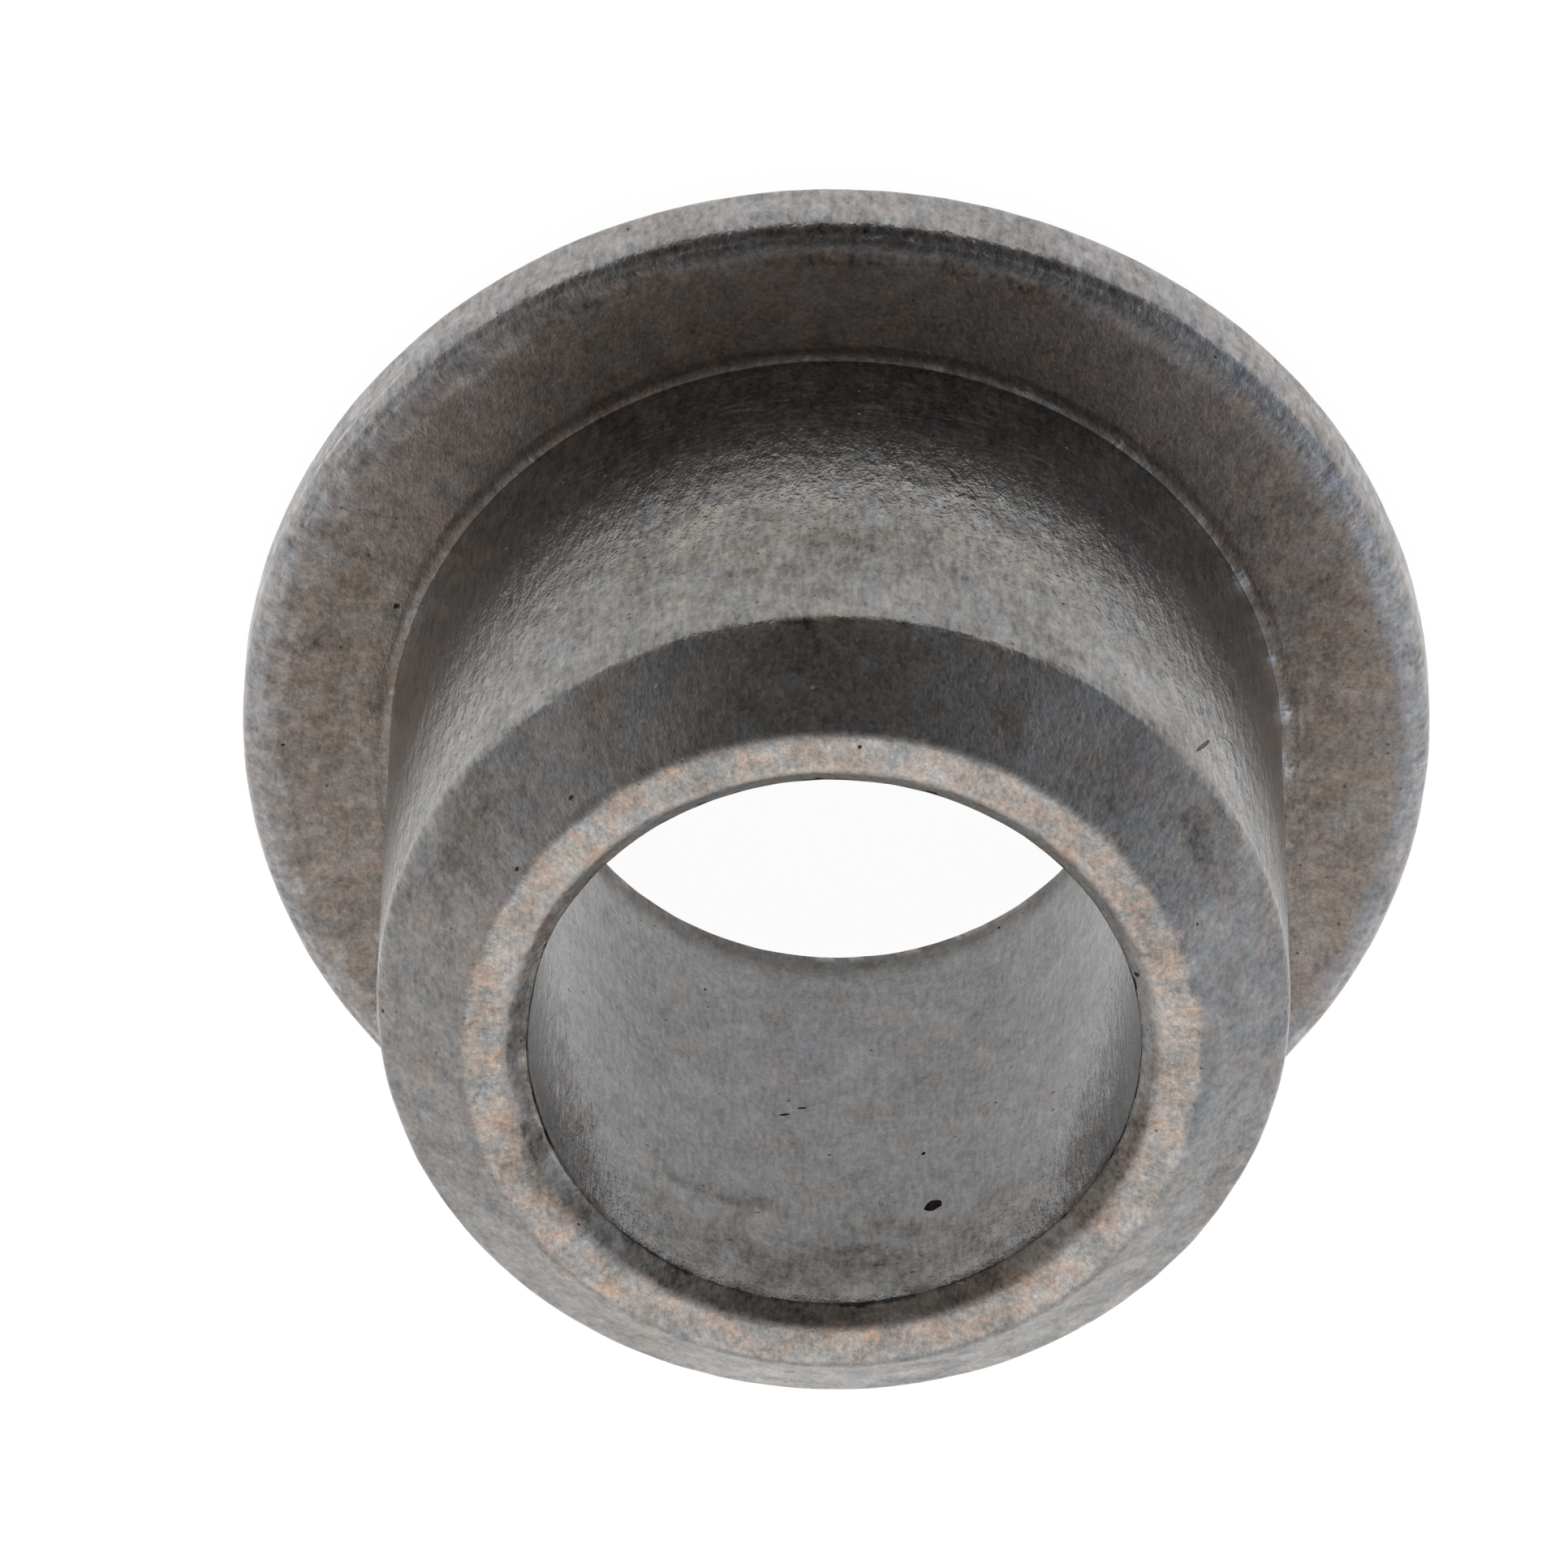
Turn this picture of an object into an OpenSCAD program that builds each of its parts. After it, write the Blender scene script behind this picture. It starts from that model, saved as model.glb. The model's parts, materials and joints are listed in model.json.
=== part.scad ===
// Flanged plain bearing, pressed and sintered in one piece and soaked in oil.
// It stands on the back of its flange: the shaft runs along +Z and the chamfered nose is on top.
// The origin is the centre of the flange's back face. Units are millimetres.

/* [Bore and wall] */
// Diameter of the bore: a 12.7 mm shaft with 0.1 mm of running clearance
bore_d = 12.8; // [8:0.1:30]
// Wall between the bore and the outside of the barrel
wall_t = 3.125; // [2.6:0.025:6]
// Length from the flange's back face to the nose face
overall_l = 14.3; // [8:0.1:40]

/* [Flange] */
// How far the flange stands out from the barrel all round
flange_rise = 3.175; // [2:0.025:8]
// Thickness of the flange
flange_t = 2.0; // [1.5:0.05:5]
// Rounding of the rim on the side of the nose
rim_front_r = 0.9; // [0.1:0.05:1.1]
// Rounding of the rim on the back face
rim_back_r = 0.35; // [0.05:0.05:0.4]

/* [Nose] */
// Size of the lead-in chamfer at 45 degrees round the nose
nose_chamfer = 1.8; // [0.4:0.05:2.2]
// Rounding where the barrel turns into the nose chamfer
shoulder_r = 0.5; // [0.05:0.05:0.9]
// Rounding where the nose chamfer turns into the nose face
face_edge_r = 0.3; // [0.05:0.05:0.4]

/* [Bore edges] */
// Width of the chamfer at the nose end of the bore, measured on the nose face
mouth_chamfer_w = 0.4; // [0.05:0.05:0.6]
// Depth of the chamfer at the nose end of the bore
mouth_chamfer_h = 0.35; // [0.05:0.05:0.8]
// Size of the chamfer that breaks the edge of the bore in the flange's back face
back_chamfer = 0.1; // [0.05:0.05:0.5]

/* [Root of the barrel] */
// Width of the shallow relief in the flange face round the barrel
relief_w = 0.4; // [0.35:0.05:1]
// Depth of that relief at its lowest ring
relief_h = 0.075; // [0.025:0.025:0.4]
// How far from the barrel the lowest ring of the relief is
relief_root = 0.25; // [0.05:0.05:0.3]

/* [Hidden] */
$fn = 128;

bore_r = bore_d / 2;
barrel_r = bore_r + wall_t;
flange_r = barrel_r + flange_rise;

// A rounding of radius r on a corner that turns 45 degrees starts this many radii from the corner.
start_45 = tan(22.5);
// From the centre of a rounding of radius 1 to where it meets a chamfer at 45 degrees.
to_chamfer = [cos(45), sin(45)];

// Takes away what lies outside a rounding of radius r on the outer corner at [x, z]. The
// material is below the corner if side is 1, and above it if side is -1.
module outer_corner(x, z, r, side) {
    difference() {
        translate([x - r, side > 0 ? z - r : z]) square(r);
        translate([x - r, z - side * r]) circle(r);
    }
}

// Half section of the flange, from inside the wall out to its rim.
module flange_section() {
    difference() {
        translate([bore_r + wall_t / 2, 0]) square([wall_t / 2 + flange_rise, flange_t]);
        outer_corner(flange_r, flange_t, rim_front_r, 1);
        outer_corner(flange_r, 0, rim_back_r, -1);
        // The barrel's straight wall starts level with the flange face, so a housing can seat on it.
        polygon([
            [barrel_r, flange_t],
            [barrel_r + relief_root, flange_t - relief_h],
            [barrel_r + relief_w, flange_t]
        ]);
    }
}

// Half section of the wall, with both chamfers of the bore and the rounded nose chamfer.
module barrel_section() {
    shoulder_z = overall_l - nose_chamfer;
    face_r = barrel_r - nose_chamfer;
    shoulder_c = [barrel_r - shoulder_r, shoulder_z - shoulder_r * start_45];
    face_edge_c = [face_r - face_edge_r * start_45, overall_l - face_edge_r];
    polygon([
        [bore_r, back_chamfer],
        [bore_r + back_chamfer, 0],
        [barrel_r, 0],
        [barrel_r, shoulder_c.y],
        shoulder_c,
        shoulder_c + shoulder_r * to_chamfer,
        face_edge_c + face_edge_r * to_chamfer,
        face_edge_c,
        [face_edge_c.x, overall_l],
        [bore_r + mouth_chamfer_w, overall_l],
        [bore_r, overall_l - mouth_chamfer_h]
    ]);
    translate(shoulder_c) circle(shoulder_r);
    translate(face_edge_c) circle(face_edge_r);
}

// The whole bushing: one solid of revolution, pressed in one stroke and sintered.
module flanged_bushing() {
    color([0.44, 0.41, 0.39])
        rotate_extrude() {
            flange_section();
            barrel_section();
        }
}

flanged_bushing();
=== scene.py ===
"""Builds the looks of a flanged sleeve bushing, pressed and sintered from bronze powder, round its CAD part."""

import json
import math

import bmesh
import bpy
from mathutils import Matrix, Vector, noise


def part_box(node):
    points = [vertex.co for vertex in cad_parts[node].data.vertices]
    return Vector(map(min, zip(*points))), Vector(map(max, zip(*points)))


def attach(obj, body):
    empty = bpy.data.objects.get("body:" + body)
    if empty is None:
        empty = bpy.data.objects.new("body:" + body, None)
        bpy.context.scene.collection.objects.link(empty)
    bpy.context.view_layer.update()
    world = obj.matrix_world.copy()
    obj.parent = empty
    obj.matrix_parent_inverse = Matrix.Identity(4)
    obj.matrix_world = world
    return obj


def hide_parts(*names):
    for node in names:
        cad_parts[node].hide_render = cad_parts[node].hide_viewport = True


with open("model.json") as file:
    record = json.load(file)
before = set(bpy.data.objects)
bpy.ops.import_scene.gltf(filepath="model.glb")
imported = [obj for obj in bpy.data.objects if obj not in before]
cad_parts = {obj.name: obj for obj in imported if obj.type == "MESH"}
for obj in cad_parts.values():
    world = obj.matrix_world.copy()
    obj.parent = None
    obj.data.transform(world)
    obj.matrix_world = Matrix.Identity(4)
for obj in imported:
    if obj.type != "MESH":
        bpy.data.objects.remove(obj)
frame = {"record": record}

bl_info = {
    "name": "Sintered Flange Bushing",
    "version": (1, 0, 0),
    "blender": (4, 5, 0),
    "location": "3D View > Sidebar > Bushing",
    "description": "Builds a pressed and sintered flange bushing and a plain studio for it",
    "category": "Object",
}

MM = 0.001
NODE = "flanged_bushing"
RECORD = frame["record"]
MOUNTS = {m["name"]: m for m in RECORD["mounts"]}
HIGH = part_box(NODE)[1]
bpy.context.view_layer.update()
MEAN_RADIUS = 9.5   # mm, where the patterns that run round the axis have their true scale


# ---------------------------------------------------------------- sizes, colours and the node helper

def rgb(code):
    """Linear colour of an sRGB hex code."""
    parts = (int(code[i:i + 2], 16) / 255 for i in (0, 2, 4))
    return tuple(p / 12.92 if p <= 0.04045 else ((p + 0.055) / 1.055) ** 2.4 for p in parts)


def length(name, description, default):
    """A length property, in metres."""
    return bpy.props.FloatProperty(
        name=name, description=description, default=default, min=0, precision=5, unit="LENGTH", subtype="DISTANCE")


def colour(name, description, code):
    """A colour property, from its sRGB hex code."""
    return bpy.props.FloatVectorProperty(
        name=name, description=description, default=rgb(code), min=0, max=1, subtype="COLOR")


def add(tree, kind, inputs=None, out=0, **settings):
    """Adds a node and returns one of its outputs, by number or name. inputs maps a socket's number or name to a
    value, or to the output that it is linked from."""
    node = tree.nodes.new(kind)
    for name, value in settings.items():
        setattr(node, name, value)
    for key, value in (inputs or {}).items():
        if isinstance(value, bpy.types.NodeSocket):
            tree.links.new(value, node.inputs[key])
        else:
            node.inputs[key].default_value = value
    return node if out is None else node.outputs[out]


class BushingSizes(bpy.types.PropertyGroup):
    """Sizes of the pressing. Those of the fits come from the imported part."""

    bore_radius: length("Bore Radius", "Radius of the bore", MOUNTS["bore"]["dims"]["r_mm"] * MM)
    barrel_radius: length("Barrel Radius", "Radius of the barrel", MOUNTS["barrel"]["dims"]["r_mm"] * MM)
    flange_radius: length("Flange Radius", "Radius of the flange", HIGH.x)
    flange_thickness: length("Flange Thickness", "Height of the flange face", MOUNTS["flange_seat"]["pos_m"][2])
    overall_length: length("Overall Length", "Height of the nose face", HIGH.z)
    nose_chamfer: length("Nose Chamfer", "Size of the lead-in chamfer at 45 degrees", 1.8 * MM)
    shoulder_rounding: length("Shoulder Rounding", "Where the barrel turns into the nose chamfer", 0.5 * MM)
    face_rounding: length("Face Rounding", "Where the nose chamfer turns into the nose face", 0.3 * MM)
    mouth_width: length("Mouth Width", "Width of the chamfer at the bore's mouth", 0.4 * MM)
    mouth_depth: length("Mouth Depth", "Depth of the chamfer at the bore's mouth", 0.35 * MM)
    rim_front: length("Rim Front Rounding", "Rounding of the rim towards the nose", 0.9 * MM)
    rim_back: length("Rim Back Rounding", "Rounding of the rim towards the back face", 0.35 * MM)
    rim_groove: length("Rim Groove", "Depth of the groove that the tools left on the rim's rounding", 0.028 * MM)
    back_chamfer: length("Back Chamfer", "Broken edge of the bore in the back face", 0.1 * MM)
    # The foot band is painted darker as painted shade, where the far end of the bore shows darker; it also has a
    # rougher finish.
    foot_band: length("Foot Band", "Height of the less burnished band at the back end of the bore", 0.8 * MM)
    relief_width: length("Relief Width", "Width of the relief round the barrel's root", 0.4 * MM)
    relief_depth: length("Relief Depth", "Depth of that relief", 0.035 * MM)
    relief_root: length("Relief Root", "From the barrel to the relief's lowest ring", 0.13 * MM)
    break_edge: length("Broken Edge", "Rounding that sizing leaves on a sharp edge", 0.05 * MM)


class BushingSurface(bpy.types.PropertyGroup):
    """How finely the pressing is meshed, and how uneven its surface is."""

    steps_round: bpy.props.IntProperty(
        name="Steps Round", description="Sections of the pressing round its axis", default=384, min=32, max=720)
    form_error: length("Form Error", "Height of the slow unevenness all over", 0.012 * MM)
    skin: length("Skin", "Height of the fine unevenness of the skin", 0.014 * MM)
    edge_wander: length("Edge Wander", "How far the pressed edges wander", 0.045 * MM)
    border_wander: length("Border Wander", "How far the borders between two finishes wander", 0.8 * MM)
    burr: length("Burr", "Height of the burr at the bore's mouth", 0.07 * MM)
    pore_spacing: length("Pore Spacing", "Least distance between two large pores", 6.0 * MM)
    pore_radius: length("Pore Radius", "Radius of the largest scattered pore", 0.05 * MM)
    seed: bpy.props.IntProperty(name="Seed", description="Picks where the scattered pores are", default=7)


class BushingColours(bpy.types.PropertyGroup):
    """Colours of the skin."""

    nose: colour("Nose Face", "Light grey skin with free copper", "9C9A97")
    chamfer: colour("Nose Chamfer", "Grey pressed skin", "8B8A89")
    barrel: colour("Barrel", "Sized and partly burnished skin", "868584")
    flange: colour("Flange Face", "Brown-grey skin as sintered", "7D7772")
    rim: colour("Rim", "Skin rubbed by the die", "959393")
    bore: colour("Bore", "Burnished running surface", "777778")
    # Painted shade: the darker colour of the bore's back end.
    bore_foot_shade: colour("Bore Foot", "Less burnished end of the bore", "5C5A57")
    back: colour("Back Face", "Flat thrust face", "918A85")
    copper: colour("Copper", "Free copper", "D09E80")
    oil: colour("Oil Stain", "Oil and oxide that lie in the pores", "3A2E27")


class StudioSetup(bpy.types.PropertyGroup):
    """Floor, light and camera."""

    floor_size: length("Floor Size", "Side of the square floor", 3.0)
    lens: bpy.props.FloatProperty(name="Lens", description="Focal length", default=392.96, unit="CAMERA", min=1)
    camera_place: bpy.props.FloatVectorProperty(
        name="Camera Place", description="Where the camera stands", default=(0.001954, -0.18780, 0.31578),
        subtype="XYZ", unit="LENGTH", precision=5)
    camera_up: bpy.props.FloatVectorProperty(
        name="Camera Up", description="Direction of the camera's upper side", default=(0.0191, -0.8568, -0.5153),
        subtype="DIRECTION")
    camera_aim: bpy.props.FloatVectorProperty(
        name="Camera Aim", description="Direction in which the camera looks", default=(-0.00235, 0.51536, -0.85697),
        subtype="DIRECTION")


# ---------------------------------------------------------------- the half section of the pressing

# What each stretch of the section is finished like: the colour's name, roughness, share of free copper, how much the
# tools rubbed it, and the distance between two rings of the mesh in mm.
FINISHES = {
    # The bore's foot is painted darker, as painted shade, and is rougher.
    "bore_foot_shade": ("bore_foot_shade", 0.38, 0.05, 0.3, 0.20),
    "bore": ("bore", 0.14, 0.04, 0.4, 0.34),
    "mouth": ("nose", 0.50, 0.35, 0.0, 0.06),
    "nose": ("nose", 0.42, 0.95, 0.2, 0.10),
    "chamfer": ("chamfer", 0.41, 0.24, 0.3, 0.13),
    "barrel": ("barrel", 0.22, 0.12, 0.8, 0.25),
    "relief": ("flange", 0.40, 0.30, 0.1, 0.06),
    "flange": ("flange", 0.46, 0.34, 0.1, 0.13),
    "rim": ("rim", 0.28, 0.08, 0.8, 0.11),
    "back": ("back", 0.40, 0.15, 0.3, 0.50),
    "back_edge": ("back", 0.42, 0.10, 0.0, 0.05),
}
ARC_STEP = 0.075 * MM           # between two rings on a rounding
ARC_TURN = math.radians(22)     # most turn between two rings on a rounding
GROOVE_STEP = 0.05 * MM         # between two rings on the rounding where the groove runs
GROOVE_AT = math.radians(46.5)  # how far round the rim's front rounding the groove is, from the flange face
GROOVE_SPREAD = math.radians(6)  # from its lowest line to where it has 0.6 of its depth
BLEND = (0.0, 0.45)             # part of a rounding over which one finish turns into the next
WORN, SOFT = 1.6, 8             # how many times the usual broken edge a worn corner and a soft one are


def corners(s):
    """Corners of the half section as (radius, height, rounding, finish of the stretch that follows), in metres."""
    face_radius = s.barrel_radius - s.nose_chamfer
    fine = s.break_edge
    return [
        (s.bore_radius, s.back_chamfer, fine / 2, "bore_foot_shade"),
        (s.bore_radius, s.foot_band, 0, "bore"),
        (s.bore_radius, s.overall_length - s.mouth_depth, fine * WORN, "mouth"),
        (s.bore_radius + s.mouth_width, s.overall_length, fine * SOFT, "nose"),
        (face_radius, s.overall_length, s.face_rounding, "chamfer"),
        (s.barrel_radius, s.overall_length - s.nose_chamfer, s.shoulder_rounding, "barrel"),
        (s.barrel_radius, s.flange_thickness, fine / 4, "relief"),
        (s.barrel_radius + s.relief_root, s.flange_thickness - s.relief_depth, fine * SOFT, "relief"),
        (s.barrel_radius + s.relief_width, s.flange_thickness, fine * SOFT, "flange"),
        (s.flange_radius, s.flange_thickness, s.rim_front, "rim"),
        (s.flange_radius, 0.0, s.rim_back, "back"),
        (s.bore_radius + s.back_chamfer, 0.0, fine / 2, "back_edge"),
    ]


def section_points(s):
    """Points of the closed half section as (radius, height, finish before, finish after, share of the latter, edge),
    with every corner rounded. edge is 1 on a rounding and 0 on a flat."""
    ring = corners(s)
    turns = []
    for i, (r, z, rounding, _) in enumerate(ring):
        here = Vector((r, z))
        before = (Vector(ring[i - 1][:2]) - here).normalized()
        after = (Vector(ring[(i + 1) % len(ring)][:2]) - here).normalized()
        opening = before.angle(after)
        cut = rounding / math.tan(opening / 2)
        centre = here + (before + after).normalized() * rounding / math.sin(opening / 2)
        turns.append((here + before * cut, centre, here + after * cut, math.pi - opening))
    points = []
    for i, (start, centre, end, turn) in enumerate(turns):
        rounding, finish, last = ring[i][2], ring[i][3], ring[i - 1][3]
        if rounding == 0:
            points.append((start.x, start.y, last, finish, 0.5, 0.0))
        else:
            grooved = rounding == s.rim_front and last == "flange"
            step = GROOVE_STEP if grooved else ARC_STEP
            steps = max(2, round(turn * rounding / step), round(turn / ARC_TURN))
            arm, to_end = start - centre, end - centre
            way = math.copysign(1, arm.x * to_end.y - arm.y * to_end.x)
            for k in range(steps + 1):
                angle = turn * k / steps
                sink = s.rim_groove * math.exp(-((angle - GROOVE_AT) / GROOVE_SPREAD) ** 2 / 2) if grooved else 0
                p = centre + Matrix.Rotation(way * angle, 2) @ arm * (1 - sink / rounding)
                share = min(1.0, max(0.0, (k / steps - BLEND[0]) / (BLEND[1] - BLEND[0])))
                points.append((p.x, p.y, last, finish, share, 1.0))
        stretch = turns[(i + 1) % len(turns)][0] - end
        steps = max(1, round(stretch.length / (FINISHES[finish][4] * MM)))
        for k in range(1, steps):
            p = end + stretch * k / steps
            points.append((p.x, p.y, finish, finish, 0.0, 0.0))
    return points


def store(mesh, name, values):
    """Stores one number or one colour for each point of a mesh."""
    many = isinstance(values[0], tuple)
    layer = mesh.attributes.new(name, "FLOAT_COLOR" if many else "FLOAT", "POINT")
    if many:
        layer.data.foreach_set("color", [part for value in values for part in value])
    else:
        layer.data.foreach_set("value", values)


def section_mesh(sizes, colours, centre_radius):
    """The half section as a closed line of edges, laid out for the sweep, with its finishes as attributes."""
    points = section_points(sizes)
    mesh = bpy.data.meshes.new("half_section")
    # The sweep turns a section's X outwards and its Y down.
    mesh.from_pydata(
        [(point[0] - centre_radius, -point[1], 0) for point in points],
        [(i, (i + 1) % len(points)) for i in range(len(points))], [])
    tints, numbers = [], []
    for _, _, last, finish, share, _ in points:
        tint, *rest = FINISHES[last]
        next_tint, *next_rest = FINISHES[finish]
        tints.append((*Vector(getattr(colours, tint)).lerp(Vector(getattr(colours, next_tint)), share), 1.0))
        numbers.append([a + (b - a) * share for a, b in zip(rest, next_rest)])
    store(mesh, "skin_colour", tints)
    for column, name in enumerate(("matt", "copper", "rubbed")):
        store(mesh, name, [row[column] for row in numbers])
    store(mesh, "edge", [point[5] for point in points])
    mouth_height = sizes.overall_length - sizes.mouth_depth
    store(mesh, "mouth_edge", [float(point[5] == 1 and abs(point[1] - mouth_height) < sizes.break_edge)
                               for point in points])
    return mesh


# ---------------------------------------------------------------- marks that use and handling left

# Each mark: the surface, degrees round the axis from -Y towards +X, its height in mm (its radius in mm on a flat
# face or the chamfer), length, width and depth in mm, the turn of its length from the way round in degrees, and
# whether it is a pit that holds oil (1) or a clean scratch (0).
MARKS = [
    ("bore", -159.7, 10.65, 0.42, 0.38, 0.30, 20, 1),
    ("bore", -161.7, 8.5, 0.14, 0.10, 0.10, 70, 1),
    ("bore", 171.5, 6.65, 0.30, 0.08, 0.04, 25, 1),
    ("bore", 174.8, 6.3, 0.22, 0.07, 0.03, 20, 1),
    ("bore", -35.0, 6.1, 0.16, 0.12, 0.08, 0, 1),
    ("bore", 62.0, 9.4, 0.12, 0.10, 0.08, 30, 1),
    ("barrel", -52.4, 11.3, 1.3, 0.09, 0.04, 66, 1),
    ("barrel", -59.3, 9.6, 0.14, 0.10, 0.06, 0, 1),
    ("barrel", -148.0, 6.2, 0.16, 0.12, 0.08, 0, 1),
    ("chamfer", 174.8, 8.3, 0.30, 0.06, 0.03, 35, 1),
    ("chamfer", 15.0, 8.85, 0.60, 0.06, 0.02, 78, 0),
    ("chamfer", 43.1, 8.05, 0.14, 0.10, 0.05, 0, 1),
    ("chamfer", 57.2, 7.85, 0.12, 0.10, 0.05, 0, 1),
    ("mouth", -72.9, 6.54, 0.16, 0.12, 0.09, 75, 1),
    ("flange", 70.5, 9.98, 0.14, 0.14, 0.08, 0, 1),
    ("flange", -139.0, 11.2, 0.18, 0.14, 0.06, 0, 1),
    ("rim", -118.0, 0.9, 0.30, 0.12, 0.05, 20, 1),
    ("rim", 151.0, 1.1, 0.24, 0.14, 0.05, -15, 1),
    ("back", 143.0, 8.8, 0.20, 0.16, 0.08, 0, 1),
]
DEEP_MARK = 0.2     # mm, beyond which a mark has finer faces
MARK_SWING, MARK_WAVES, MARK_SHIFT = 0.22, 1.7, 3.1     # how far, how finely and how differently each is uneven


def on_surface(surface, angle, place, s):
    """(point, outward normal) of a place on a named surface of the pressing."""
    turn = math.radians(angle)
    out = Vector((math.sin(turn), -math.cos(turn), 0))
    up = Vector((0, 0, 1))
    place *= MM
    if surface == "bore":
        return out * s.bore_radius + up * place, -out
    if surface in ("barrel", "rim"):
        return out * (s.barrel_radius if surface == "barrel" else s.flange_radius) + up * place, out
    if surface == "chamfer":
        height = s.overall_length - s.nose_chamfer + s.barrel_radius - place
        return out * place + up * height, (out + up).normalized()
    if surface == "mouth":
        height = s.overall_length - s.mouth_depth * (1 - (place - s.bore_radius) / s.mouth_width)
        return out * place + up * height, (up * s.mouth_width - out * s.mouth_depth).normalized()
    if surface == "flange":
        return out * place + up * s.flange_thickness, up
    return out * place, -up


def mark_cutters(s):
    """One object with a rough ellipsoid for each mark, sunk to its depth, which is cut from the pressing."""
    mesh = bpy.data.meshes.new("mark_cutters")
    shapes = bmesh.new()
    pit = shapes.verts.layers.float.new("pit")
    for number, (surface, angle, place, long, wide, deep, turn, oily) in enumerate(MARKS):
        point, normal = on_surface(surface, angle, place, s)
        round_way = Vector((0, 0, 1)).cross(point).normalized()
        frame_of_mark = Matrix((round_way, normal.cross(round_way), normal)).transposed()
        frame_of_mark = frame_of_mark @ Matrix.Rotation(math.radians(turn), 3, "Z")
        ball = bmesh.ops.create_icosphere(shapes, subdivisions=3 if deep > DEEP_MARK else 2, radius=1)["verts"]
        for vert in ball:
            rough = 1 + MARK_SWING * noise.noise(vert.co * MARK_WAVES + Vector((number * MARK_SHIFT, 0, 0)))
            local = Vector((vert.co.x * long / 2, vert.co.y * wide / 2, vert.co.z * deep)) * rough * MM
            vert.co = point + frame_of_mark @ local
            vert[pit] = oily
    shapes.normal_update()
    shapes.to_mesh(mesh)
    shapes.free()
    cutters = bpy.data.objects.new("mark_cutters", mesh)
    bpy.context.scene.collection.objects.link(cutters)
    return cutters


# ---------------------------------------------------------------- the tree that sweeps and roughens the pressing

SHARP = math.radians(35)    # an edge of the mesh that turns more than this, such as a pit's, is shaded sharp
PORE_DENSITY = 2.0e5        # tries per m2, of which the least distance leaves only some
PORE_SIZES = ((0.5, 0.5, 0.4), (1.0, 1.0, 0.9))     # least and most, in parts of the largest pore
BURR_ENDS = ((48, 70), (112, 100))      # degrees from +Y towards +X where the burr has no height and its full height


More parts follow.
